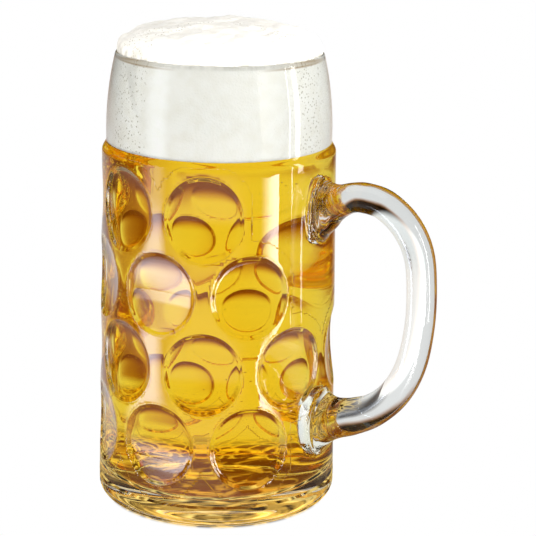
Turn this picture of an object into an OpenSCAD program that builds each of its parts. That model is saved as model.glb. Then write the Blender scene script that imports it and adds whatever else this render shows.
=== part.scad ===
/* [Glass] */
// Height from the table to the rim
mug_h = 200; // [180:1:230]
// Diameter at the widest of the foot
foot_d = 106.2; // [100:0.1:120]
// Diameter of the dimpled wall just under the shoulder
shoulder_d = 101.8; // [98:0.1:112]
// Diameter at the widest of the smooth collar
collar_d = 98.1; // [94:0.1:98.5]
// Diameter over the rim
rim_d = 90.4; // [82:0.1:93]
// Height of the smooth collar above the shoulder
collar_h = 40; // [30:1:50]
// Glass in the dimpled wall, between two dimples
wall_t = 6.5; // [5:0.1:8]
// Glass at the foot of the collar
collar_t = 5; // [4:0.1:6]
// Glass at the rim, which is fire polished to a full round
rim_t = 3.8; // [3:0.1:5]
// Glass under the drink
floor_t = 10; // [7:0.5:14]
// Rounding where the floor meets the wall, inside
floor_r = 10; // [5:0.5:14]
// Rounding of the outer bottom edge
heel_r = 6; // [4:0.5:8]
// Diameter of the hollow under the foot
hollow_d = 74; // [50:1:86]
// Depth of the hollow under the foot
hollow_h = 2.5; // [1:0.1:4]

/* [Dimples] */
// Dimples in a full row
dimples_round = 8; // [6:1:9]
// Rows of dimples, each turned by half a dimple from the one above
dimple_rows = 4; // [3:1:5]
// Depth of a dimple at its centre
dimple_depth = 3.6; // [2:0.1:4]
// Radius of a dimple's bowl, up and down
dimple_up_r = 48; // [36:1:60]
// Radius of a dimple's bowl, across
dimple_across_r = 180; // [120:5:300]
// Glass left behind the middle of a dimple
dimple_glass_t = 5; // [4:0.1:6]
// Plain glass between the shoulder and the top row's share of the wall
band_drop = 5.8; // [3:0.1:10]
// Plain glass between the table and the bottom row's share of the wall
band_base = 20.6; // [16:0.1:30]

/* [Handle] */
// From the shoulder down to the middle of the upper root
handle_drop = 24; // [18:1:36]
// Height of the middle of the lower root
handle_foot_z = 41; // [30:1:60]
// Distance from the wall to the middle of the grip
handle_reach = 47.2; // [40:0.1:60]
// Width of the grip
handle_w = 16; // [12:0.5:20]
// Thickness of the grip
handle_t = 11.8; // [9:0.1:15]

/* [Drink] */
// Depth of the foam from the rim down to the beer
head_h = 40.5; // [15:0.5:90]
// Height of the foam's crown over the rim
foam_crown_h = 12.8; // [4:0.1:16]
// How steeply the foam's dome comes down at its edge, where 1 is an ellipse and less is fuller
foam_fullness = 0.72; // [0.4:0.02:1]
// Rim that the foam leaves bare
foam_inset = 0.9; // [0.6:0.1:1.5]

/* [Hidden] */
$fn = 144;
overrun = 1;

foot_r = foot_d / 2;
shoulder_r = shoulder_d / 2;
collar_r = collar_d / 2;
rim_r = rim_d / 2;
lip_r = rim_t / 2;
lip_z = mug_h - lip_r;
crown_r = rim_r - lip_r;
hollow_r = hollow_d / 2;

// The wall rolls in to the collar over a short ease on either side of the shoulder's height
shoulder_z = mug_h - collar_h;
ease_down = 3;
ease_up = 2;
belly_rise = 3;
wall_top_z = shoulder_z - ease_down;
collar_z = shoulder_z + ease_up;

// The collar is one arc, upright at its widest, which lies a little over its foot
belly_z = collar_z + belly_rise;
collar_in = collar_r - rim_r;
bow_r = ((lip_z - belly_z) ^ 2 + collar_in ^ 2) / (2 * collar_in);

// Each row of dimples has an equal share of the wall's height
row_pitch = (shoulder_z - band_drop - band_base) / dimple_rows;
dimple_step = 360 / dimples_round;

beer_z = mug_h - head_h;

arc_steps = 8;
collar_steps = 12;

function mix(a, b, share) = a + (b - a) * share;

function arc(middle, r, from, to, steps = arc_steps) =
    [for (i = [0:steps]) let (a = mix(from, to, i / steps)) middle + r * [cos(a), sin(a)]];

// Radius of the dimpled wall, which is widest at the foot
function wall_at(z) = mix(foot_r, shoulder_r, (z - heel_r) / (wall_top_z - heel_r));

function collar_at(z) = collar_r - bow_r + sqrt(bow_r ^ 2 - (z - belly_z) ^ 2);

function collar_glass_at(z) = mix(collar_t, rim_t, (z - collar_z) / (lip_z - collar_z));

function shoulder_at(share) = [
    mix(shoulder_r, collar_at(collar_z), (1 - cos(180 * share)) / 2),
    mix(wall_top_z, collar_z, share)
];

hollow_bow_r = (hollow_r ^ 2 + hollow_h ^ 2) / (2 * hollow_h);
hollow_half_angle = asin(hollow_r / hollow_bow_r);

outside_line = concat(
    arc([0, hollow_h - hollow_bow_r], hollow_bow_r, 90, 90 - hollow_half_angle),
    arc([foot_r - heel_r, heel_r], heel_r, -90, 0),
    [for (i = [0:arc_steps]) shoulder_at(i / arc_steps)],
    [for (i = [1:collar_steps]) let (z = mix(collar_z, lip_z, i / collar_steps)) [collar_at(z), z]],
    arc([crown_r, lip_z], lip_r, 0, 90)
);

// The inside, from the middle of the floor up the wall and out over the lip's crown
inside_line = concat(
    [[0, floor_t]],
    arc([wall_at(floor_t) - wall_t - floor_r, floor_t + floor_r], floor_r, -90, 0),
    [[shoulder_r - wall_t, wall_top_z]],
    [for (i = [0:collar_steps])
        let (z = mix(collar_z, lip_z, i / collar_steps)) [collar_at(z) - collar_glass_at(z), z]],
    arc([crown_r, lip_z], lip_r, 180, 90)
);

module outside_section() polygon(concat(outside_line, [[0, mug_h]]));

module cavity_section() polygon(concat(inside_line, [[crown_r, mug_h + overrun], [0, mug_h + overrun]]));

// A dimple's half width and the height to its upper or lower edge, at the widest that the wall's roundness
// and lean make them, with the sweep and thickness of a scoop that clears them
wall_lean = abs(shoulder_r - foot_r) / (wall_top_z - heel_r);
dimple_half_w = sqrt(2 * dimple_depth / (1 / dimple_across_r + 1 / max(foot_r, shoulder_r)));
dimple_half_h = dimple_up_r * wall_lean + sqrt((dimple_up_r * wall_lean) ^ 2 + 2 * dimple_up_r * dimple_depth);
dimple_clear = 1.5;
dimple_sweep = 2 * asin((dimple_half_w + dimple_clear) / dimple_across_r);
bowl_t = dimple_half_h ^ 2 / (2 * dimple_up_r) + dimple_clear / 2;

// The outer slice of a ring that scoops one dimple, or a larger one that leaves its bulge inside
module dimple_bowl(grow) {
    up_r = dimple_up_r + grow;
    rotate([0, 0, 180 - dimple_sweep / 2])
        rotate_extrude(angle = dimple_sweep, $fn = 720)
            translate([dimple_across_r - dimple_up_r, 0])
                intersection() {
                    circle(r = up_r, $fn = 180);
                    translate([up_r - bowl_t, -up_r]) square([bowl_t, 2 * up_r]);
                }
}

// Whether a row lies beside one of the handle's roots, where a dimple would run in under the root
function beside_root(z) = min(abs(z - (shoulder_z - handle_drop)), abs(z - handle_foot_z)) < dimple_half_h;

// One row, turned by half a dimple from its neighbours. It leaves out the dimple that is due under the
// handle, or the pair astride the handle where the row lies beside a root
module dimple_row(row, grow) {
    z = shoulder_z - band_drop - row_pitch * (row + 0.5);
    astride = row % 2 == 0;
    plain_pair = astride && beside_root(z);
    for (i = [astride && !plain_pair ? 0 : 1:dimples_round - (plain_pair ? 2 : 1)])
        rotate([0, 0, dimple_step * (i + (astride ? 0.5 : 0))])
            translate([wall_at(z) - dimple_depth + dimple_across_r, 0, z])
                dimple_bowl(grow);
}

// Takes the dimples out of its child, a row at a time from the top
module without_dimples(grow, row = dimple_rows - 1) {
    difference() {
        if (row > 0) without_dimples(grow, row - 1) children();
        else children();
        dimple_row(row, grow);
    }
}

// The mug's outer form, filled
module glass_form() {
    without_dimples(0) rotate_extrude() outside_section();
}

module mug_body() {
    color([0.80, 0.87, 0.88, 0.4])
        difference() {
            glass_form();
            without_dimples(dimple_glass_t) rotate_extrude() cavity_section();
        }
}

// Stations down the handle, each [reach, height, thickness, width]: shares of handle_reach from the
// wall, of the height between the roots from the lower one, of handle_t and of handle_w
handle_shares = [
    [-0.14, 1.000, 2.25, 1.36],
    [0.015, 1.000, 2.25, 1.36],
    [0.075, 1.010, 1.88, 1.26],
    [0.130, 1.023, 1.61, 1.14],
    [0.205, 1.053, 1.21, 1.03],
    [0.300, 1.074, 1.08, 0.97],
    [0.425, 1.081, 1.07, 0.94],
    [0.620, 1.060, 1.05, 0.94],
    [0.830, 0.978, 1.03, 0.97],
    [0.962, 0.855, 0.99, 1.00],
    [1.000, 0.685, 0.98, 1.00],
    [0.988, 0.515, 1.00, 1.00],
    [0.918, 0.340, 1.07, 1.00],
    [0.775, 0.200, 1.14, 1.03],
    [0.575, 0.104, 1.23, 1.09],
    [0.375, 0.055, 1.36, 1.16],
    [0.235, 0.032, 1.48, 1.22],
    [0.150, 0.014, 1.74, 1.31],
    [0.085, 0.002, 2.12, 1.41],
    [0.035, 0.000, 2.50, 1.44],
    [-0.14, 0.000, 2.50, 1.44]
];
handle_steps = 3;
handle_sides = 24;
handle_squareness = 2.2;
flare_stations = 3.5;
turn_stations = 2;

// A smooth curve through four neighbouring stations, at a share of the way between the middle two
function spline(a, b, c, d, t) =
    0.5 * (2 * b + (c - a) * t + (2 * a - 5 * b + 4 * c - d) * t ^ 2 + (3 * b - a - 3 * c + d) * t ^ 3);

last_station = len(handle_shares) - 1;
function station(i) = handle_shares[max(0, min(last_station, i))];
function handle_at(u) =
    let (i = min(floor(u), last_station - 1))
    spline(station(i - 1), station(i), station(i + 1), station(i + 2), u - i);

function handle_middle(u) =
    let (s = handle_at(u))
    [shoulder_r + s[0] * handle_reach, 0, mix(handle_foot_z, shoulder_z - handle_drop, s[1])];

// An ellipse squared off a little, as a pulled and flattened rod of glass is
function squared(v) = sign(v) * abs(v) ^ (2 / handle_squareness);

// A section across the handle, which turns level with the wall over the flare at either root
function handle_ring(u, nudge = 0.02) =
    let (
        here = handle_middle(u),
        ahead = handle_middle(min(u + nudge, last_station)) - handle_middle(max(u - nudge, 0)),
        outward = [u < last_station / 2 ? 1 : -1, 0, 0],
        past_flare = (min(u, last_station - u) - flare_stations) / turn_stations,
        free = max(0, min(1, past_flare)),
        along = mix(outward, ahead / norm(ahead), free),
        across = [-along.z, 0, along.x] / norm(along),
        s = handle_at(u)
    )
    [for (k = [0:handle_sides - 1])
        let (a = 360 * k / handle_sides)
        here + across * squared(cos(a)) * s[2] * handle_t / 2
             + [0, squared(sin(a)) * s[3] * handle_w / 2, 0]];

module handle_rod() {
    rings = last_station * handle_steps;
    n = handle_sides;
    points = [for (i = [0:rings]) each handle_ring(i / handle_steps)];
    sides = [for (i = [0:rings - 1], k = [0:n - 1]) let (a = i * n + k, b = i * n + (k + 1) % n)
        each [[a, b, b + n], [a, b + n, a + n]]];
    ends = [[for (k = [n - 1:-1:0]) k], [for (k = [0:n - 1]) rings * n + k]];
    polyhedron(points, concat(sides, ends));
}

module handle() {
    color([0.80, 0.87, 0.88, 0.4])
        difference() {
            handle_rod();
            glass_form();
        }
}

// The beer fills the cavity to its level, round the bulges
module beer() {
    color([0.93, 0.62, 0.08, 0.8])
        without_dimples(dimple_glass_t)
            rotate_extrude()
                intersection() {
                    cavity_section();
                    square([foot_r, beer_z]);
                }
}

// The foam's dome, from where it rests on the lip to its crown
foam_r = rim_r - foam_inset;
foam_foot_z = lip_z + sqrt(lip_r ^ 2 - (foam_r - crown_r) ^ 2);
foam_top_z = mug_h + foam_crown_h;
dome_steps = 18;
foam_line = [for (i = [0:dome_steps])
    let (a = 90 - 90 * i / dome_steps)
    [foam_r * sin(a), mix(foam_foot_z, foam_top_z, cos(a) ^ foam_fullness)]];

// The foam stands on the beer, fills the collar and rolls over the lip under a low dome
module foam_head() {
    color([0.98, 0.97, 0.93])
        rotate_extrude() {
            intersection() {
                cavity_section();
                translate([0, beer_z]) square([foot_r, lip_z - beer_z]);
            }
            difference() {
                polygon(concat([[0, lip_z], [foam_r, lip_z]], foam_line));
                difference() {
                    outside_section();
                    cavity_section();
                }
            }
        }
}

mug_body();
handle();
beer();
foam_head();
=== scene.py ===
import math
import random

import bmesh
import bpy
from mathutils import Matrix, Vector, noise


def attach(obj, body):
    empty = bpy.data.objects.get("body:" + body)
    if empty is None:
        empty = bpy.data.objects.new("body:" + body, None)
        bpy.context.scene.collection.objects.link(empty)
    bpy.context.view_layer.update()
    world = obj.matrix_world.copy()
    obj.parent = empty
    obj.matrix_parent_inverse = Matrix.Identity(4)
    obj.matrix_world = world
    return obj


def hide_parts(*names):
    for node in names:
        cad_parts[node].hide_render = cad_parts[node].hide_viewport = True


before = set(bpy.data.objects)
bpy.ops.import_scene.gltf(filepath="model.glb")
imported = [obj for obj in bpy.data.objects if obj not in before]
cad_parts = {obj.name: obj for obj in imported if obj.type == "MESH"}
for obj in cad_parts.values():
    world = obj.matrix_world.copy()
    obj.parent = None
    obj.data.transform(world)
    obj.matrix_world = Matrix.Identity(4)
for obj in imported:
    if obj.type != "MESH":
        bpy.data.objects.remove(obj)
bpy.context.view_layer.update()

mm = 0.001
print("frame loaded")

# A full dimpled glass beer mug on a white table. Sizes are in millimetres and turned to metres as
# points are placed. The handle points along +X and the table is at z = 0.


def mix(a, b, share):
    return a + (b - a) * share


def arc(middle, r, start, end, steps):
    angles = [math.radians(mix(start, end, i / steps)) for i in range(steps + 1)]
    return [(middle[0] + r * math.cos(a), middle[1] + r * math.sin(a)) for a in angles]


def softMin(a, b, blend):    # the lesser of two, rounded where they cross
    h = max(blend - abs(a - b), 0) / blend
    return min(a, b) - h * h * blend / 4


def shade(hexColour):    # sRGB hex to linear
    parts = [int(hexColour[i:i + 2], 16) / 255 for i in (1, 3, 5)]
    return [c / 12.92 if c <= 0.04045 else ((c + 0.055) / 1.055) ** 2.4 for c in parts] + [1]


def addNode(tree, kind, links={}, **settings):
    node = tree.nodes.new(kind)
    for key, value in settings.items():
        setattr(node, key, value)
    for socket, value in links.items():
        if isinstance(value, bpy.types.NodeSocket):
            tree.links.new(value, node.inputs[socket])
        else:
            node.inputs[socket].default_value = value
    return node


def ramp(tree, value, low, high, start=0.0, end=1.0, smooth=False):    # low to high becomes start to end
    ends = {"Value": value, "From Min": low, "From Max": high, "To Min": start, "To Max": end}
    kind = "SMOOTHSTEP" if smooth else "LINEAR"
    return addNode(tree, "ShaderNodeMapRange", ends, interpolation_type=kind).outputs[0]


def work(tree, operation, *values, **settings):
    return addNode(tree, "ShaderNodeMath", dict(enumerate(values)), operation=operation, **settings).outputs[0]


def vectorWork(tree, operation, *values):
    node = addNode(tree, "ShaderNodeVectorMath", dict(enumerate(values)), operation=operation)
    return node.outputs["Value" if operation in ("DOT_PRODUCT", "LENGTH") else "Vector"]


def mixValues(tree, share, a, b):
    return addNode(tree, "ShaderNodeMix", {0: share, 2: a, 3: b}).outputs[0]


def mixColours(tree, share, a, b):
    return addNode(tree, "ShaderNodeMix", {0: share, 6: a, 7: b}, data_type="RGBA").outputs[2]


def mixShaders(tree, share, a, b):
    return addNode(tree, "ShaderNodeMixShader", {0: share, 1: a, 2: b}).outputs[0]


def pattern(tree, kind, place, sizeMm, links={}, **settings):    # a noise or a cell pattern, by its size
    return addNode(tree, "ShaderNodeTex" + kind, {"Vector": place, "Scale": 1000 / sizeMm, **links}, **settings)


def bumped(tree, height, highMm, normal=None, strength=1.0):
    links = {"Height": height, "Strength": strength, "Distance": highMm * mm}
    if normal:
        links["Normal"] = normal
    return addNode(tree, "ShaderNodeBump", links).outputs["Normal"]


def clearToShadows(tree, shader):    # the lamps shine straight through, since caustics aren't computed
    clear = addNode(tree, "ShaderNodeBsdfTransparent").outputs[0]
    return mixShaders(tree, addNode(tree, "ShaderNodeLightPath").outputs["Is Shadow Ray"], shader, clear)


def newMaterial(name):
    material = bpy.data.materials.new(name)
    material.use_nodes = True
    material.node_tree.nodes.clear()
    return material, material.node_tree


def deselect():
    if bpy.context.mode != "OBJECT":
        bpy.ops.object.mode_set(mode="OBJECT")
    bpy.ops.object.select_all(action="DESELECT")


def pick(piece):
    deselect()
    piece.select_set(True)
    bpy.context.view_layer.objects.active = piece


# the mug's own lines

glass = {
    "height": 200, "footD": 106.2, "shoulderD": 101.8, "collarD": 98.1, "rimD": 90.4, "collarH": 40,
    "wallT": 6.5, "collarT": 5, "rimT": 3.8, "floorT": 10, "floorR": 10, "heelR": 6,
    "hollowD": 74, "hollowH": 2.5, "easeDown": 3, "easeUp": 2, "bellyRise": 3,
    "seamZ": 10.5, "seamOut": 0.14, "seamWide": 1.3,    # the mould's parting line, just over the heel
    "turns": 304, "outerRows": 112, "innerRows": 70, "weld": 0.004,
    "waveOut": 0.035, "waveIn": 0.11, "waveSize": 17,    # pressed glass is a little uneven, more so inside
    "shiftOut": (3, 7, 0), "shiftIn": (3, 7, 40),    # where in the noise the two sides are taken from
    "drinkClear": 0.5, "drinkInset": 0.2,    # how a drink's top edge is let into the inside line
}
steps = {"hollow": 8, "heel": 12, "shoulder": 10, "collar": 16, "lip": 8, "collarInside": 14, "floorEdge": 10,
         "floor": 8}
dimples = {
    "round": 8, "rows": 4, "depth": 3.6, "upR": 48, "acrossR": 180, "glassT": 5,
    "bandDrop": 5.8, "bandBase": 20.6, "edge": 0.12, "innerEdge": 0.9, "snap": 0.62,
    "rimWide": 2.6, "rimDeep": 0.25,    # just inside its edge a dimple falls more steeply
    "reach": 27,    # no dimple goes further than this up or down from its row
    "lowest": 12, "highest": 159.6, "fade": 12, "innermost": 36,    # where the wall is pressed and uneven
    "none": -9,    # the depth that stands for no dimple near
}
nudgeRound, nudgeUp, flattest = 0.001, 0.05, 0.05    # for slopes: small moves, and the least slope that is divided by

footR, shoulderR, collarR, rimR = [glass[k] / 2 for k in ("footD", "shoulderD", "collarD", "rimD")]
lipR = glass["rimT"] / 2
lipZ = glass["height"] - lipR
crownR = rimR - lipR
shoulderZ = glass["height"] - glass["collarH"]
wallTopZ = shoulderZ - glass["easeDown"]
collarZ = shoulderZ + glass["easeUp"]
bellyZ = collarZ + glass["bellyRise"]
bowR = ((lipZ - bellyZ) ** 2 + (collarR - rimR) ** 2) / (2 * (collarR - rimR))
insideTopR = shoulderR - glass["wallT"]


def wallAt(z):
    return mix(footR, shoulderR, (z - glass["heelR"]) / (wallTopZ - glass["heelR"]))


def collarAt(z):
    return collarR - bowR + math.sqrt(bowR ** 2 - (z - bellyZ) ** 2)


def collarInsideAt(z):
    return collarAt(z) - mix(glass["collarT"], glass["rimT"], (z - collarZ) / (lipZ - collarZ))


def outsideLine():    # from the middle of the underside up to the crown of the lip
    hollowR = glass["hollowD"] / 2
    underR = (hollowR ** 2 + glass["hollowH"] ** 2) / (2 * glass["hollowH"])
    half = math.degrees(math.asin(hollowR / underR))
    line = arc((0, glass["hollowH"] - underR), underR, 90, 90 - half, steps["hollow"])
    line += arc((footR - glass["heelR"], glass["heelR"]), glass["heelR"], -90, 0, steps["heel"])
    rows = glass["outerRows"]
    for i in range(1, rows + 1):
        z = mix(glass["heelR"], wallTopZ, i / rows)
        ridge = glass["seamOut"] * max(0, 1 - abs(z - glass["seamZ"]) / glass["seamWide"])
        line.append((wallAt(z) + ridge, z))
    for i in range(1, steps["shoulder"] + 1):
        share = i / steps["shoulder"]
        turn = (1 - math.cos(math.pi * share)) / 2
        line.append((mix(shoulderR, collarAt(collarZ), turn), mix(wallTopZ, collarZ, share)))
    for i in range(1, steps["collar"] + 1):
        z = mix(collarZ, lipZ, i / steps["collar"])
        line.append((collarAt(z), z))
    return line + arc((crownR, lipZ), lipR, 0, 90, steps["lip"])[1:]


def insideLine(gap=0, top=None):    # from the lip's crown, or from a drink's top, down to the middle of the floor
    line = [] if top else arc((crownR, lipZ), lipR, 90, 180, steps["lip"])[1:]
    for i in range(1, steps["collarInside"] + 1):
        z = mix(lipZ, collarZ, i / steps["collarInside"])
        line.append((collarInsideAt(z), z))
    line.append((insideTopR, wallTopZ))
    floorR, floorT = glass["floorR"], glass["floorT"]
    floorEdgeZ = floorT + floorR
    rows = glass["innerRows"]
    for i in range(1, rows):
        z = mix(wallTopZ, floorEdgeZ, i / rows)
        wall = mix(wallAt(floorT), shoulderR, (z - floorT - floorR) / (wallTopZ - floorT - floorR))
        line.append((wall - glass["wallT"], z))
    line += arc((wallAt(floorT) - glass["wallT"] - floorR, floorEdgeZ), floorR, 0, -90, steps["floorEdge"])
    line += [(line[-1][0] * (1 - i / steps["floor"]), floorT) for i in range(1, steps["floor"] + 1)]
    if top:
        line = [p for p in line if p[1] < top - glass["drinkClear"]]
        line.insert(0, (insideTopR - glass["drinkInset"], top))
    return [(max(r - gap, 0), z + (gap if z < floorEdgeZ else 0)) for r, z in line]


def lathe(name, line, turns):    # a ring of points, opened, laid along the drawn line and turned round the mug's axis
    deselect()
    bpy.ops.mesh.primitive_circle_add(vertices=len(line), radius=0.1)
    piece = bpy.context.object
    piece.name = piece.data.name = name
    for vertex, (r, z) in zip(piece.data.vertices, line):
        vertex.co = Vector((r, 0, z)) * mm
    bpy.ops.object.mode_set(mode="EDIT")
    bpy.ops.mesh.select_mode(type="EDGE")
    bpy.ops.mesh.select_all(action="DESELECT")
    mesh = bmesh.from_edit_mesh(piece.data)
    for edge in mesh.edges:
        edge.select = {v.index for v in edge.verts} == {0, len(line) - 1}
    bpy.ops.mesh.delete(type="EDGE")
    bpy.ops.object.mode_set(mode="OBJECT")
    spun = piece.modifiers.new("lathe", "SCREW")
    spun.steps = spun.render_steps = turns
    spun.use_merge_vertices = True
    spun.merge_threshold = glass["weld"] * mm
    bpy.ops.object.modifier_apply(modifier="lathe")
    bpy.ops.object.mode_set(mode="EDIT")
    bpy.ops.mesh.select_mode(type="VERT")
    bpy.ops.mesh.select_all(action="SELECT")
    bpy.ops.mesh.remove_doubles(threshold=glass["weld"] * mm)
    bpy.ops.mesh.normals_make_consistent(inside=False)
    bpy.ops.object.mode_set(mode="OBJECT")
    bpy.ops.object.shade_smooth()
    return piece


rowPitch = (shoulderZ - dimples["bandDrop"] - dimples["bandBase"]) / dimples["rows"]
dimpleStep = math.tau / dimples["round"]


def bowlsAt(angle, z, grow):    # the radius of each dimple's bowl that lies near this place on the wall
    found = []
    for row in range(dimples["rows"]):
        rowZ = shoulderZ - dimples["bandDrop"] - rowPitch * (row + 0.5)
        turned = 0.5 if row % 2 == 0 else 0
        place = round(angle / dimpleStep - turned)
        if abs(z - rowZ) > dimples["reach"] or not turned and place % dimples["round"] == 0:
            continue    # the handle stands where a full turn would bring the second and fourth rows
        if row == 0 and place % dimples["round"] in (0, dimples["round"] - 1):
            continue    # and its upper root takes the place of a pair in the top row
        off = angle - (place + turned) * dimpleStep
        axis = wallAt(rowZ) - dimples["depth"] + dimples["acrossR"]
        bowl = dimples["acrossR"] - dimples["upR"] + math.sqrt((dimples["upR"] + grow) ** 2 - (z - rowZ) ** 2)
        aside = bowl ** 2 - (axis * math.sin(off)) ** 2
        if aside > 0:
            found.append(axis * math.cos(off) - math.sqrt(aside))
    return found


def edgeDepth(angle, z):    # over zero inside a dimple, under zero on the land
    return max([wallAt(z) - bowl for bowl in bowlsAt(angle, z, 0)], default=dimples["none"])


def edgeSlopes(angle, z, depth):
    return ((edgeDepth(angle + nudgeRound, z) - depth) / (nudgeRound * wallAt(z)),
            (edgeDepth(angle, z + nudgeUp) - depth) / nudgeUp)


def fromEdge(angle, z, depth):    # about how far inside a dimple's edge a place is
    return depth / max(flattest, math.hypot(*edgeSlopes(angle, z, depth)))


def pressDimples(piece, gap=0):    # moves the wall's points in, outside for the dimples and inside for their bulges
    snapped = set()
    low, high = dimples["lowest"], dimples["highest"]
    for vertex in piece.data.vertices:
        x, y, z = [c / mm for c in vertex.co]
        r = math.hypot(x, y)
        if r < dimples["innermost"] or not low < z < high:
            continue
        angle = math.atan2(y, x)
        outside = r > wallAt(z) - glass["wallT"] / 2
        if outside:
            depth = edgeDepth(angle, z)
            if abs(depth) < dimples["snap"] / 2:    # a point near an edge is drawn onto it, so that the edge is crisp
                across, up = edgeSlopes(angle, z, depth)
                steep = across ** 2 + up ** 2
                if abs(depth) < dimples["snap"] * math.sqrt(steep):
                    angle -= depth * across / steep / r
                    z -= depth * up / steep
                    snapped.add(vertex.index)
            new = wallAt(z) + (r - wallAt(vertex.co.z / mm))
            for bowl in bowlsAt(angle, z, 0):
                new = softMin(new, bowl, dimples["edge"])
            depth = edgeDepth(angle, z)
            if depth > 0:
                inside = min(1, fromEdge(angle, z, depth) / dimples["rimWide"])
                new -= dimples["rimDeep"] * inside * inside * (3 - 2 * inside)
        else:
            new = r + gap
            for bowl in bowlsAt(angle, z, dimples["glassT"]):
                new = softMin(new, bowl, dimples["innerEdge"])
            new -= gap
        fade = max(0, min(1, (z - low) / dimples["fade"], (high - z) / dimples["fade"]))
        shift = Vector(glass["shiftOut" if outside else "shiftIn"])
        wave = noise.noise(Vector((x, y, z)) / glass["waveSize"] + shift)
        new += wave * fade * (glass["waveOut"] if outside else glass["waveIn"])
        vertex.co = Vector((new * math.cos(angle), new * math.sin(angle), z)) * mm
    mesh = bmesh.new()
    mesh.from_mesh(piece.data)
    for face in list(mesh.faces):    # a square that an edge crosses is cut along it
        on = [v for v in face.verts if v.index in snapped]
        if len(face.verts) == 4 and len(on) == 2 and not any(e.other_vert(on[0]) == on[1] for e in on[0].link_edges):
            bmesh.utils.face_split(face, on[0], on[1])
    mesh.to_mesh(piece.data)
    mesh.free()
    piece.data.shade_smooth()


# the handle, a rod of glass drawn through the stations of its path

handleSizes = {
    "drop": 24, "footZ": 41, "reach": 47.2, "width": 16, "thickness": 11.8,
    "sides": 64, "steps": 6, "squareness": 2.2, "flare": 3.5, "turn": 2, "nudge": 0.02,
    "streak": 0.16, "streakTurns": 2.6, "streakRun": 0.22, "streakEase": 0.5,    # drawing leaves long soft ridges
}
# Shares of the reach from the wall, of the height between the roots, of the thickness and of the width
handleShares = [
    (-0.14, 1.000, 2.25, 1.36), (0.015, 1.000, 2.25, 1.36), (0.075, 1.010, 1.88, 1.26),
    (0.130, 1.023, 1.61, 1.14), (0.205, 1.053, 1.21, 1.03), (0.300, 1.074, 1.08, 0.97),
    (0.425, 1.081, 1.07, 0.94), (0.620, 1.060, 1.05, 0.94), (0.830, 0.978, 1.03, 0.97),
    (0.962, 0.855, 0.99, 1.00), (1.000, 0.685, 0.98, 1.00), (0.988, 0.515, 1.00, 1.00),
    (0.918, 0.340, 1.07, 1.00), (0.775, 0.200, 1.14, 1.03), (0.575, 0.104, 1.23, 1.09),
    (0.375, 0.055, 1.36, 1.16), (0.235, 0.032, 1.48, 1.22), (0.150, 0.014, 1.74, 1.31),
    (0.085, 0.002, 2.12, 1.41), (0.035, 0.000, 2.50, 1.44), (-0.14, 0.000, 2.50, 1.44),
]
lastStation = len(handleShares) - 1


def stationAt(u):    # a smooth curve through the stations
    i = min(int(u), lastStation - 1)
    a, b, c, d = [handleShares[max(0, min(lastStation, i + k))] for k in (-1, 0, 1, 2)]
    t = u - i
    return [0.5 * (2 * q + (r - p) * t + (2 * p - 5 * q + 4 * r - s) * t ** 2 + (3 * q - p - 3 * r + s) * t ** 3)
            for p, q, r, s in zip(a, b, c, d)]


def handleMiddle(u):
    s = stationAt(u)
    top = shoulderZ - handleSizes["drop"]
    return Vector((shoulderR + s[0] * handleSizes["reach"], 0, mix(handleSizes["footZ"], top, s[1])))


def handlePoint(u, angle):
    here = handleMiddle(u)
    nudge = handleSizes["nudge"]
    ahead = (handleMiddle(min(u + nudge, lastStation)) - handleMiddle(max(u - nudge, 0))).normalized()
    outward = Vector((1 if u < lastStation / 2 else -1, 0, 0))
    free = (min(u, lastStation - u) - handleSizes["flare"]) / handleSizes["turn"]
    along = outward.lerp(ahead, max(0, min(1, free)))
    across = Vector((-along.z, 0, along.x)).normalized()
    c, s = math.cos(angle), math.sin(angle)
    thick, wide = stationAt(u)[2] * handleSizes["thickness"] / 2, stationAt(u)[3] * handleSizes["width"] / 2
    power = 2 / handleSizes["squareness"]
    k = handleSizes["streakTurns"]
    eased = max(0, min(1, free + handleSizes["streakEase"]))
    ridge = noise.noise(Vector((c * k, s * k, u * handleSizes["streakRun"]))) * handleSizes["streak"] * eased
    thick += ridge
    wide += ridge
    return (here + across * math.copysign(abs(c) ** power, c) * thick
            + Vector((0, math.copysign(abs(s) ** power, s) * wide, 0))) * mm


def drawHandle(name):    # a long cylinder, cut into rings and bent along the path
    deselect()
    rings = lastStation * handleSizes["steps"]
    bpy.ops.mesh.primitive_cylinder_add(vertices=handleSizes["sides"], radius=1, depth=lastStation)
    piece = bpy.context.object
    piece.name = piece.data.name = name
    bpy.ops.object.mode_set(mode="EDIT")
    bpy.ops.mesh.select_all(action="DESELECT")
    mesh = bmesh.from_edit_mesh(piece.data)
    for edge in mesh.edges:
        edge.select = abs(edge.verts[0].co.z - edge.verts[1].co.z) > 1
    bpy.ops.mesh.subdivide(number_cuts=rings - 1)
    bpy.ops.object.mode_set(mode="OBJECT")
    for vertex in piece.data.vertices:
        vertex.co = handlePoint(vertex.co.z + lastStation / 2, math.atan2(vertex.co.y, vertex.co.x))
    bpy.ops.object.mode_set(mode="EDIT")
    bpy.ops.mesh.select_all(action="SELECT")
    bpy.ops.mesh.normals_make_consistent(inside=False)
    bpy.ops.object.mode_set(mode="OBJECT")
    bpy.ops.object.shade_smooth()
    return piece


# finishes

glassLooks = {"ior": 1.52, "beerIor": 1.34, "tint": "#fbfefd", "rippleMm": 9, "ripple": 0.02,
              "edgeWide": 0.5, "edgeHigh": 0.07, "rimWide": 2.3, "rimDeep": 0.3}
footLooks = {"full": 5, "up": 9, "flat": 3, "streakMm": 17, "dull": 0.47, "bright": 0.62,
             "brown": "#2c1e10", "gold": "#ffca58", "shine": 0.5}


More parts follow.
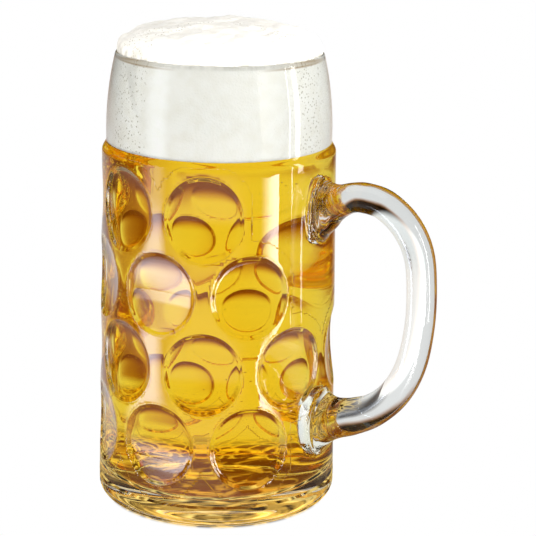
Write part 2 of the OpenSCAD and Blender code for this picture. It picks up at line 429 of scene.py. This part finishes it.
def dimpleEdges(tree, normal):    # a fine raised line round each dimple, from the mould, and a sharper fall inside it
    edge = addNode(tree, "ShaderNodeAttribute", attribute_name="edgeMm").outputs["Fac"]
    line = ramp(tree, work(tree, "ABSOLUTE", edge), 0.0, glassLooks["edgeWide"], 1.0, 0.0, smooth=True)
    normal = bumped(tree, line, glassLooks["edgeHigh"], normal)
    fall = ramp(tree, edge, 0.0, glassLooks["rimWide"], 1.0, 0.0, smooth=True)
    return bumped(tree, fall, glassLooks["rimDeep"], normal)


def paintedHeelGlow(tree, place):    # painted glow: the glass gives out gold streaks round the foot, for the light that the beer gathers into the heel
    height = addNode(tree, "ShaderNodeSeparateXYZ", {0: place}).outputs["Z"]
    low = ramp(tree, height, footLooks["full"] * mm, footLooks["up"] * mm, 1.0, 0.0, smooth=True)
    drawn = vectorWork(tree, "MULTIPLY", place, (1, 1, footLooks["flat"]))
    flow = pattern(tree, "Noise", drawn, footLooks["streakMm"], {"Detail": 2.0, "Distortion": 1.2})
    thread = ramp(tree, flow.outputs["Fac"], footLooks["dull"], footLooks["bright"], smooth=True)
    gold = mixColours(tree, thread, shade(footLooks["brown"]), shade(footLooks["gold"]))
    share = work(tree, "MULTIPLY", low, footLooks["shine"])
    return addNode(tree, "ShaderNodeEmission", {"Color": gold, "Strength": share}).outputs[0]


def glassMaterial(name, ior, pressed=False):
    material, tree = newMaterial(name)
    place = addNode(tree, "ShaderNodeTexCoord").outputs["Object"]
    ripple = pattern(tree, "Noise", place, glassLooks["rippleMm"], {"Detail": 2.0, "Roughness": 0.4})
    normal = bumped(tree, ripple.outputs["Fac"], glassLooks["ripple"])
    if pressed:
        normal = dimpleEdges(tree, normal)
    surface = addNode(tree, "ShaderNodeBsdfPrincipled", {
        "Base Color": shade(glassLooks["tint"]), "Roughness": 0.0, "IOR": ior, "Transmission Weight": 1.0,
        "Normal": normal}).outputs[0]
    if pressed:
        surface = addNode(tree, "ShaderNodeAddShader", {0: surface, 1: paintedHeelGlow(tree, place)}).outputs[0]
    addNode(tree, "ShaderNodeOutputMaterial", {"Surface": clearToShadows(tree, surface)})
    return material


# Soda-lime glass, pressed in a mould and fire polished: clear, bright, with slow ripples, and a painted gold glow
# round the heel
pressedGlass = glassMaterial("pressed_soda_lime_glass", glassLooks["ior"], pressed=True)
# The same glass where beer or foam wets it: the step in index is small, so it hardly mirrors
wettedGlass = glassMaterial("wetted_soda_lime_glass", glassLooks["ior"] / glassLooks["beerIor"])
# Soda-lime glass of the handle, drawn to a rod while hot: clear, with nothing of the mould on it
drawnGlass = glassMaterial("drawn_soda_lime_glass", glassLooks["ior"])

# Where the handle is fused to the wall there is no surface for the light to meet
fusedGlass, tree = newMaterial("fused_glass_joint")
addNode(tree, "ShaderNodeOutputMaterial", {"Surface": addNode(tree, "ShaderNodeBsdfTransparent").outputs[0]})

beerLooks = {"density": 44, "colour": (0.974, 0.9, 0.05, 1), "paintedGlow": 2.6, "paintedGlowColour": "#ff8a18"}
# Filtered lager, golden and darker where it is deeper. The wetted glass round it bends the light, so its
# own surface has no step in index, and a faint painted glow, given out by the beer itself, stands for the light that
# it scatters
lager, tree = newMaterial("filtered_lager")
liquid = addNode(tree, "ShaderNodeBsdfPrincipled", {"Base Color": (1, 1, 1, 1), "Roughness": 0.0, "IOR": 1.0,
                                                    "Transmission Weight": 1.0}).outputs[0]
soak = addNode(tree, "ShaderNodeVolumeAbsorption", {"Color": beerLooks["colour"], "Density": beerLooks["density"]})
paintedGlow = addNode(tree, "ShaderNodeEmission", {"Color": shade(beerLooks["paintedGlowColour"]), "Strength": beerLooks["paintedGlow"]})
inside = addNode(tree, "ShaderNodeAddShader", {0: soak.outputs[0], 1: paintedGlow.outputs[0]}).outputs[0]
addNode(tree, "ShaderNodeOutputMaterial", {"Surface": clearToShadows(tree, liquid), "Volume": inside})

foamLooks = {
    "bubbleMm": 0.9, "fineMm": 0.45, "high": 0.35, "bump": 0.5, "roughness": 0.6, "gloss": 0.15,
    "patchMm": 5, "cream": "#f8f6ee", "white": "#fdfcf7", "creamAt": 0.3, "whiteAt": 0.6,
    "coarseMm": 1.4, "holeR": 0.16, "holeEdge": 0.3, "hole": "#bdb8a8",    # the coarser bubbles
    "bandAngles": (-117, -6), "ragged": 0.12, "bandFrom": 1.025, "bandTo": 1.045,    # hang in two upright bands
    "lipLow": 197.4, "lipHigh": 198.4, "lipShadeFrom": 206, "lipShadeTo": 200.5, "paintedLipShade": "#bfbdb0",
    "lipShadeLeast": 0.15, "lipShadeMost": 0.8, "patchLow": 0.42, "patchHigh": 0.58,
    "lineZ": 197.2, "lineCore": 0.1, "lineEdge": 0.7, "lineShare": 0.75, "sideFrom": 0.84, "paintedLipLine": "#a78a5c",
}
# Beer foam: a wet mass of bubbles that scatters nearly all light, soft and matt, with patches of coarser bubbles
froth, tree = newMaterial("beer_froth")
place = addNode(tree, "ShaderNodeTexCoord").outputs["Object"]
bubbles = pattern(tree, "Voronoi", place, foamLooks["bubbleMm"]).outputs["Distance"]
fine = pattern(tree, "Noise", place, foamLooks["fineMm"], {"Detail": 3.0}).outputs["Fac"]
normal = bumped(tree, work(tree, "ADD", bubbles, fine), foamLooks["high"], strength=foamLooks["bump"])
patches = pattern(tree, "Noise", place, foamLooks["patchMm"], {"Detail": 4.0}).outputs["Fac"]
tint = addNode(tree, "ShaderNodeValToRGB", {"Fac": patches})
for element, colour in zip(tint.color_ramp.elements, ("cream", "white")):
    element.position = foamLooks[colour + "At"]
    element.color = shade(foamLooks[colour])
coarse = pattern(tree, "Voronoi", place, foamLooks["coarseMm"]).outputs["Distance"]
holes = ramp(tree, coarse, foamLooks["holeR"], foamLooks["holeEdge"], 1.0, 0.0)
out = vectorWork(tree, "NORMALIZE", vectorWork(tree, "MULTIPLY", place, (1, 1, 0)))
bands = [vectorWork(tree, "DOT_PRODUCT", out, (math.cos(math.radians(a)), math.sin(math.radians(a)), 0))
         for a in foamLooks["bandAngles"]]
nearer = work(tree, "MAXIMUM", *bands)
ragged = work(tree, "MULTIPLY_ADD", patches, foamLooks["ragged"], nearer)
zone = ramp(tree, ragged, foamLooks["bandFrom"], foamLooks["bandTo"])
colour = mixColours(tree, work(tree, "MULTIPLY", holes, zone), tint.outputs[0], shade(foamLooks["hole"]))
level = addNode(tree, "ShaderNodeSeparateXYZ", {0: place}).outputs["Z"]
# Painted shade: just above the lip the foam is greyer, in patches
over = ramp(tree, level, foamLooks["lipShadeTo"] * mm, foamLooks["lipShadeFrom"] * mm, 1.0, 0.0)
share = ramp(tree, patches, foamLooks["patchLow"], foamLooks["patchHigh"],
             foamLooks["lipShadeLeast"], foamLooks["lipShadeMost"])
lip = ramp(tree, level, foamLooks["lipLow"] * mm, foamLooks["lipHigh"] * mm)
paintedLipShade = work(tree, "MULTIPLY", work(tree, "MULTIPLY", over, share), lip)
colour = mixColours(tree, paintedLipShade, colour, shade(foamLooks["paintedLipShade"]))
# Painted shade: a thin tan line on the foam just under the lip, at the sides, where the lip's glass shows a dark edge
offLine = work(tree, "ABSOLUTE", work(tree, "SUBTRACT", level, foamLooks["lineZ"] * mm))
line = ramp(tree, offLine, foamLooks["lineCore"] * mm, foamLooks["lineEdge"] * mm, foamLooks["lineShare"], 0.0)
line = work(tree, "MULTIPLY", line, ramp(tree, nearer, foamLooks["sideFrom"], 1.0))
colour = mixColours(tree, line, colour, shade(foamLooks["paintedLipLine"]))
foam = addNode(tree, "ShaderNodeBsdfPrincipled", {
    "Base Color": colour, "Roughness": foamLooks["roughness"], "IOR": glassLooks["beerIor"],
    "Specular IOR Level": foamLooks["gloss"], "Normal": normal})
addNode(tree, "ShaderNodeOutputMaterial", {"Surface": foam.outputs[0]})
print("finishes made")

# the glass: vessel and handle fused, smoothed where they meet, then parted again

joint = {
    "fromX": 0.044, "halfWide": 0.02, "betweenZ": 0.09, "softness": 0.5, "every": 3,
    # reach in mm and rounds: less at the lower root, which has dimples beside it
    "upper": (3.8, 24), "lower": (2.4, 12),
}
body = lathe("mugGlass", outsideLine() + insideLine(), glass["turns"])
pressDimples(body)
handle = drawHandle("handleGlass")
for piece in (body, handle):
    piece.data.materials.append(pressedGlass)
    piece.data.materials.append(drawnGlass)
for face in handle.data.polygons:
    face.material_index = 1
pick(body)
union = body.modifiers.new("fuse", "BOOLEAN")
union.operation = "UNION"
union.solver = "MANIFOLD"
union.object = handle
bpy.ops.object.modifier_apply(modifier="fuse")
bpy.data.objects.remove(handle)
onHandle = sum(f.material_index for f in body.data.polygons)
print("glass fused", len(body.data.polygons), "faces,", onHandle, "on the handle")

bpy.ops.object.mode_set(mode="EDIT")
bpy.ops.mesh.select_all(action="DESELECT")
mesh = bmesh.from_edit_mesh(body.data)
seam = [e for e in mesh.edges if len({f.material_index for f in e.link_faces}) == 2]
near = [(e.verts[0].co + e.verts[1].co) / 2 for e in seam]
print("joint", len(seam), "edges")
bpy.ops.mesh.select_mode(type="VERT")
for upper, (fillet, rounds) in ((True, joint["upper"]), (False, joint["lower"])):
    for vertex in mesh.verts:
        if vertex.co.x > joint["fromX"] and abs(vertex.co.y) < joint["halfWide"]:
            beside = (vertex.co.z > joint["betweenZ"]) == upper
            vertex.select = beside and any((vertex.co - p).length < fillet * mm for p in near[::joint["every"]])
    bpy.ops.mesh.vertices_smooth(factor=joint["softness"], repeat=rounds)
bpy.ops.mesh.select_all(action="DESELECT")
bpy.ops.mesh.select_mode(type="FACE")
for f in mesh.faces:
    f.select = f.material_index == 1
bmesh.update_edit_mesh(body.data)
bpy.ops.mesh.separate(type="SELECTED")
bpy.ops.object.mode_set(mode="OBJECT")
handle = [o for o in bpy.context.selected_objects if o != body][0]
handle.name = handle.data.name = "handleGlass"


def capJoint(piece, slot):    # closes a piece where the other is fused to it
    pick(piece)
    bpy.ops.object.mode_set(mode="EDIT")
    bpy.ops.mesh.select_mode(type="EDGE")
    bpy.ops.mesh.select_all(action="DESELECT")
    bpy.ops.mesh.select_non_manifold(extend=False, use_wire=False, use_boundary=True, use_multi_face=False,
                                     use_non_contiguous=False, use_verts=False)
    bpy.ops.mesh.fill(use_beauty=False)
    piece.active_material_index = slot
    bpy.ops.object.material_slot_assign()
    bpy.ops.object.mode_set(mode="OBJECT")


for piece, slots in ((body, (pressedGlass, wettedGlass, fusedGlass)), (handle, (drawnGlass, fusedGlass))):
    piece.data.materials.clear()
    for m in slots:
        piece.data.materials.append(m)
    for face in piece.data.polygons:
        face.material_index = 0
    capJoint(piece, len(slots) - 1)

wet = 0
wetSpan = {"floorBand": 1, "overLip": 0.5}
for face in body.data.polygons:    # the faces that look inward over the floor, and the floor itself
    c = face.center / mm
    if c.z > glass["floorT"] + wetSpan["floorBand"]:
        inward = face.normal.x * c.x + face.normal.y * c.y < 0
    else:
        inward = face.normal.z > 0 and c.z > glass["floorT"] - wetSpan["floorBand"]
    if inward and face.material_index == 0 and c.z < lipZ + wetSpan["overLip"]:
        face.material_index = 1
        wet += 1
print("wetted faces", wet)

edgeSpan = {"lowest": 12, "highest": 159, "skin": 4.5, "farOutside": -3, "most": 5}
# how far each point is from a dimple's edge, for the finish
edges = body.data.attributes.new("edgeMm", "FLOAT", "POINT")
for vertex in body.data.vertices:
    x, y, z = vertex.co / mm
    edges.data[vertex.index].value = edgeSpan["most"]
    if edgeSpan["lowest"] < z < edgeSpan["highest"] and math.hypot(x, y) > wallAt(z) - edgeSpan["skin"]:
        angle = math.atan2(y, x)
        depth = edgeDepth(angle, z)
        if depth > edgeSpan["farOutside"]:
            away = fromEdge(angle, z, depth)
            edges.data[vertex.index].value = max(-edgeSpan["most"], min(edgeSpan["most"], away))

# the beer, which fills the inside to the shoulder

beerSizes = {"top": 159.5, "gap": 0.1, "rings": (12, 24, 34, 40), "turns": 240}
beerTop = beerSizes["top"]
beerLine = [(r, beerTop) for r in (0, *beerSizes["rings"])] + insideLine(beerSizes["gap"], beerTop)
beer = lathe("beerFill", beerLine, beerSizes["turns"])
pressDimples(beer, beerSizes["gap"])
beer.data.materials.append(lager)

# bubbles that rise or cling near the glass: one is modelled, and copied at many sizes

bubbleSizes = {"count": 240, "smallest": 0.13, "largest": 0.34, "clearOfWall": 3.4, "band": 9, "lowest": 14,
               "highest": 156}
# Carbon dioxide in beer: the light bends the other way, so each bubble has a dark rim
gasBubble, tree = newMaterial("carbon_dioxide_bubble")
skin = addNode(tree, "ShaderNodeBsdfGlass", {"Color": (1, 1, 1, 1), "Roughness": 0.0,
                                             "IOR": 1 / glassLooks["beerIor"]})
addNode(tree, "ShaderNodeOutputMaterial", {"Surface": skin.outputs[0]})
random.seed(7)
deselect()
bpy.ops.mesh.primitive_ico_sphere_add(subdivisions=2, radius=mm)
bubble = bpy.context.object
bpy.ops.object.shade_smooth()
copies = []
for i in range(bubbleSizes["count"]):
    z = random.uniform(bubbleSizes["lowest"], bubbleSizes["highest"])
    out = wallAt(z) - glass["wallT"] - bubbleSizes["clearOfWall"] - bubbleSizes["band"] * random.random() ** 2
    out -= max(0, glass["floorT"] + glass["floorR"] - z)
    turn = random.uniform(0, math.tau)
    size = mix(bubbleSizes["smallest"], bubbleSizes["largest"], random.random() ** 3)
    copy = bubble.copy()
    copy.data = bubble.data.copy()
    moved = Matrix.Translation(Vector((out * math.cos(turn), out * math.sin(turn), z)) * mm)
    copy.data.transform(moved @ Matrix.Scale(size, 4))
    bpy.context.collection.objects.link(copy)
    copies.append(copy)
bpy.data.objects.remove(bubble)
pick(copies[0])
for copy in copies:
    copy.select_set(True)
bpy.ops.object.join()
bubbles = bpy.context.object
bubbles.name = bubbles.data.name = "beerBubbles"
bubbles.data.materials.append(gasBubble)

# the foam

foamSizes = {
    "crown": 12.8, "fullness": 0.72, "inset": 0.9, "gap": 0.1,
    "domeRings": 84, "lipRings": 10, "collarRings": 16, "turns": 256,
    "footInset": 0.3, "footLift": 0.15, "underLift": 0.1, "underRings": (38, 26, 13, 0),
    "lump": 1.2, "lumpMm": 10, "middle": 0.5, "middleMm": 4.2, "fine": 0.17, "fineMm": 2.0,
    "lumpFrom": 0.2, "lumpFade": 2.5, "beyond": 0.3, "splay": 0.004,    # the lumps grow in over the foot of the dome
}
foamR = rimR - foamSizes["inset"]
foamFoot = lipZ + math.sqrt((lipR + foamSizes["gap"]) ** 2 - (foamR - crownR) ** 2)
foamTop = glass["height"] + foamSizes["crown"]
foamLine = [(0, foamTop)]
for i in range(1, foamSizes["domeRings"]):
    a = math.radians(90 * i / foamSizes["domeRings"])
    foamLine.append((foamR * math.sin(a), mix(foamFoot, foamTop, math.cos(a) ** foamSizes["fullness"])))
start = math.degrees(math.acos((foamR - crownR) / (lipR + foamSizes["gap"])))
foamLine += arc((crownR, lipZ), lipR + foamSizes["gap"], start, 180, foamSizes["lipRings"])
for i in range(1, foamSizes["collarRings"] + 1):
    z = mix(lipZ, collarZ, i / foamSizes["collarRings"])
    foamLine.append((collarInsideAt(z) - foamSizes["gap"], z))
foamLine.append((insideTopR - foamSizes["footInset"], beerTop + foamSizes["footLift"]))
foamLine += [(r, beerTop + foamSizes["underLift"]) for r in foamSizes["underRings"]]
foamCap = lathe("foamHead", foamLine, foamSizes["turns"])
for vertex in foamCap.data.vertices:
    p = vertex.co / mm
    risen = p.z - foamFoot + foamSizes["lumpFrom"]
    if p.z > foamFoot - foamSizes["lumpFrom"] and math.hypot(p.x, p.y) < foamR + foamSizes["beyond"]:
        fade = min(1, risen / foamSizes["lumpFade"])
        up = sum(noise.noise(p / foamSizes[k + "Mm"]) * foamSizes[k] for k in ("lump", "middle", "fine"))
        outward = Vector((p.x * foamSizes["splay"], p.y * foamSizes["splay"], 1)).normalized()
        vertex.co += outward * up * fade * mm
foamCap.data.materials.append(froth)
print("drink made")

for piece, node, slot in ((body, "mug_body", "clear_glass"), (handle, "handle", "handle_glass"),
                          (beer, "beer", "beer"), (foamCap, "foam_head", "foam")):
    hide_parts(node)
    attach(piece, "root")
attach(bubbles, "root")

# the table, the light and the camera

tableLooks = {
    "across": 0.9, "sides": 96, "white": 1.0, "glow": 0.78, "side": 0.09, "footR": 47.5, "glowR": 50.5,
    "paintedR": 62, "paintedFade": 92, "paintedShadowBrown": "#2a1b0a", "paintedStreakGold": "#ffdd80", "paintedPoolShine": 0.8,
    "streakMm": 11, "streakCore": 0.02, "streakEdge": 0.2, "warpMm": 14, "warp": 0.012, "nearR": 100, "farR": 130,
}
room = {"sightline": 29.6, "lean": 0.22, "brightTo": 0.12, "darkFrom": 0.55}
sightTurn = math.radians(room["sightline"])
sightline = (math.cos(sightTurn), math.sin(sightTurn), 0)    # level, across the camera's line of sight


# Bright behind the mug and dark to its sides. The lean takes the dark further round on the right,
# so that the mug's left is the darker
def towardsSides(tree, direction, bright, dark):
    aside = vectorWork(tree, "DOT_PRODUCT", direction, sightline)
    square = work(tree, "POWER", work(tree, "ADD", aside, room["lean"]), 2.0)
    return ramp(tree, square, room["brightTo"], room["darkFrom"], bright, dark)


deselect()
bpy.ops.mesh.primitive_circle_add(vertices=tableLooks["sides"], radius=tableLooks["across"] / 2, fill_type="NGON")
table = bpy.context.object
table.name = "table"
# White acrylic light table, lit from inside. Under the mug it has a painted shadow, dark brown, with painted gold
# streaks for the light that comes through the beer
tableTop, tree = newMaterial("white_acrylic_light_table")
place = addNode(tree, "ShaderNodeTexCoord").outputs["Object"]
camera = addNode(tree, "ShaderNodeLightPath").outputs["Is Camera Ray"]
apart = vectorWork(tree, "LENGTH", place)
clearOf = ramp(tree, apart, tableLooks["footR"] * mm, tableLooks["glowR"] * mm)
cast = ramp(tree, apart, tableLooks["paintedR"] * mm, tableLooks["paintedFade"] * mm)
white = mixValues(tree, camera, cast, clearOf)
warp = pattern(tree, "Noise", place, tableLooks["warpMm"], {"Detail": 3.0}).outputs["Color"]
bent = addNode(tree, "ShaderNodeMix", {0: tableLooks["warp"], 4: place, 5: warp}, data_type="VECTOR").outputs[1]
cells = pattern(tree, "Voronoi", bent, tableLooks["streakMm"], feature="DISTANCE_TO_EDGE").outputs["Distance"]
streak = ramp(tree, cells, tableLooks["streakCore"], tableLooks["streakEdge"], 1.0, 0.0, smooth=True)
gold = mixColours(tree, streak, shade(tableLooks["paintedShadowBrown"]), shade(tableLooks["paintedStreakGold"]))
colour = mixColours(tree, white, gold, (1, 1, 1, 1))
lit = towardsSides(tree, vectorWork(tree, "NORMALIZE", place), tableLooks["glow"], tableLooks["side"])
under = mixValues(tree, white, tableLooks["paintedPoolShine"], lit)    # painted light, brighter where the beer focuses it
glow = mixValues(tree, camera, under, tableLooks["white"])
top = addNode(tree, "ShaderNodeEmission", {"Color": colour, "Strength": glow}).outputs[0]
# Away from the mug, what the glass bends sees past the table to the sweep, which is brighter the lower it is
beyond = ramp(tree, apart, tableLooks["nearR"] * mm, tableLooks["farR"] * mm)
past = work(tree, "SUBTRACT", beyond, camera, use_clamp=True)
through = addNode(tree, "ShaderNodeBsdfTransparent").outputs[0]
addNode(tree, "ShaderNodeOutputMaterial", {"Surface": mixShaders(tree, past, top, through)})
table.data.materials.append(tableTop)

daylight, neutral, cool, soft = (0.78, 0.86, 1), (1, 1, 1), (0.97, 1, 1), (1, 0.985, 0.965)
# Each has its place, size and aim in mm, brightness, colour, the shares over which it fades at its two upright
# edges (and what is left of it at its top), and how it is seen: mirrored, through the glass or by the foam
lamps = {
    "leftSoftbox": ((-234, -349, 160), (240, 320), (0, 0, 160), 8.5, daylight, (0.5, 0.35, 0.3), "mirrored"),
    "leftCard": ((-163, -243, 1), (170, 330), (-163, -243, 200), 9.5, daylight, (0.4, 0.35), "mirrored"),
    "rightStrip": ((320, -80, 50), (110, 100), (0, 0, 50), 14, neutral, (0.8, 0.02), "mirrored"),
    "rightCard": ((231, -57, 1), (78, 220), (231, -57, 200), 14, neutral, (0.8, 0.02), "mirrored"),
    "thinStrip": ((331, 55, 140), (9, 280), (0, 0, 140), 9, neutral, (0.2, 0.2), "mirrored"),
    "edgeStrip": ((325, 115, 160), (50, 320), (0, 0, 160), 8, neutral, (0.3, 0.3), "mirrored"),
    "handleCard": ((108, 59, 110), (140, 220), (60, -22, 110), 0.9, cool, (0.2, 0.2), "through"),
    "underHandle": ((118, 8, 1), (130, 150), (118, 8, 200), 0.95, cool, (0.25, 0.25), "through"),
    "backFill": ((-420, 950, 420), (1700, 800), (0, 0, 170), 2.6, soft, (0, 0), "foam"),
    "overhead": ((-100, 0, 900), (700, 700), (0, 0, 150), 0.8, neutral, (0.1, 0.1), "mirrored foam"),
    "frontFill": ((420, -950, 420), (1700, 800), (0, 0, 170), 5.6, soft, (0, 0), "foam"),
    "leftFill": ((-900, -150, 380), (700, 700), (0, 0, 170), 2.6, soft, (0, 0), "foam"),
    "rightFill": ((900, 350, 380), (700, 700), (0, 0, 170), 9.0, soft, (0, 0), "foam"),
}
lampFades = {"topFrom": 0.14, "topTo": 0.22, "cardEnd": 0.3, "cardBelow": 10}


def fadeLamp(lamp, fade, onTable):    # the light falls off towards the two upright edges of the lamp
    lamp.data.use_nodes = True
    tree = lamp.data.node_tree
    tree.nodes.clear()
    spot = addNode(tree, "ShaderNodeSeparateXYZ", {0: addNode(tree, "ShaderNodeNewGeometry").outputs["Parametric"]})
    across, up = spot.outputs["X"], spot.outputs["Y"]
    left = ramp(tree, across, 0.0, fade[0], smooth=True)
    right = ramp(tree, across, 1.0, 1 - fade[1], smooth=True)
    share = work(tree, "MULTIPLY", left, right)
    if len(fade) == 3:    # and towards its top, to a share of itself
        top = ramp(tree, up, lampFades["topFrom"], lampFades["topTo"], 1.0, fade[2], smooth=True)
        share = work(tree, "MULTIPLY", share, top)
    if onTable:    # a card fades towards its two ends as well
        for end in (0, 1):
            last = ramp(tree, up, end, mix(lampFades["cardEnd"], 1 - lampFades["cardEnd"], end), smooth=True)
            share = work(tree, "MULTIPLY", share, last)
    shine = addNode(tree, "ShaderNodeEmission", {"Strength": share})
    addNode(tree, "ShaderNodeOutputLight", {"Surface": shine.outputs[0]})


for name, (place, size, aim, brightness, colour, fade, seen) in lamps.items():
    bpy.ops.object.light_add(type="AREA", location=Vector(place) * mm)
    lamp = bpy.context.object
    lamp.name = name
    lamp.data.shape = "RECTANGLE"
    lamp.data.color = colour
    lamp.data.size, lamp.data.size_y = size[0] * mm, size[1] * mm
    lamp.data.energy = brightness * math.pi * size[0] * size[1] * mm * mm
    lamp.rotation_euler = (Vector(aim) - Vector(place)).to_track_quat("-Z", "Y").to_euler()
    onTable = place[2] < lampFades["cardBelow"]
    if onTable:    # a card on the table, turned to point at the mug
        lamp.rotation_euler = (math.pi, 0, -math.atan2(place[0], place[1]))
    if fade[0]:
        fadeLamp(lamp, fade, onTable)
    lamp.visible_camera = False
    lamp.visible_transmission = "through" in seen
    lamp.visible_glossy = "mirrored" in seen
    lamp.visible_diffuse = "foam" in seen

# a lit sweep round the table, brighter the lower it is, and a dark room over it
studio = {"sweep": 0.78, "side": 0.09, "dark": 0.01, "from": -0.24, "to": -0.04, "sideColour": "#ffa850"}
world = bpy.data.worlds.new("studio")
world.use_nodes = True
tree = world.node_tree
tree.nodes.clear()
ray = addNode(tree, "ShaderNodeTexCoord").outputs["Generated"]
rise = addNode(tree, "ShaderNodeSeparateXYZ", {0: ray}).outputs["Z"]
above = ramp(tree, rise, studio["from"], studio["to"], 1.0, 0.0, smooth=True)
level = mixValues(tree, above, studio["dark"], towardsSides(tree, ray, studio["sweep"], studio["side"]))
camera = addNode(tree, "ShaderNodeLightPath").outputs["Is Camera Ray"]
warmth = ramp(tree, level, studio["dark"], studio["sweep"])
tinted = mixColours(tree, warmth, shade(studio["sideColour"]), (1, 1, 1, 1))
sky = addNode(tree, "ShaderNodeBackground", {"Color": mixColours(tree, camera, tinted, (1, 1, 1, 1)),
                                             "Strength": mixValues(tree, camera, level, 1.0)})
addNode(tree, "ShaderNodeOutputWorld", {"Surface": sky.outputs[0]})
bpy.context.scene.world = world

view = {"place": (386.41, -680.21, 316.7), "turn": (74.743, -0.903, 28.229),    # fitted to the photograph
        "lens": 122.78, "sensor": 36, "clip": 0.05}
bpy.ops.object.camera_add(location=Vector(view["place"]) * mm, rotation=[math.radians(a) for a in view["turn"]])
camera = bpy.context.object
camera.data.lens = view["lens"]
camera.data.sensor_width = view["sensor"]
camera.data.clip_start = view["clip"]
bpy.context.scene.camera = camera

bounces = {"glass": 32, "mirrored": 8}    # a ray crosses many faces of glass and beer
scene = bpy.context.scene
scene.view_settings.view_transform = "Standard"
scene.cycles.max_bounces = bounces["glass"]
scene.cycles.transmission_bounces = bounces["glass"]
scene.cycles.glossy_bounces = bounces["mirrored"]
scene.cycles.transparent_max_bounces = bounces["glass"]
scene.cycles.caustics_reflective = False
scene.cycles.caustics_refractive = False
scene.cycles.use_denoising = True
print("light and camera set")
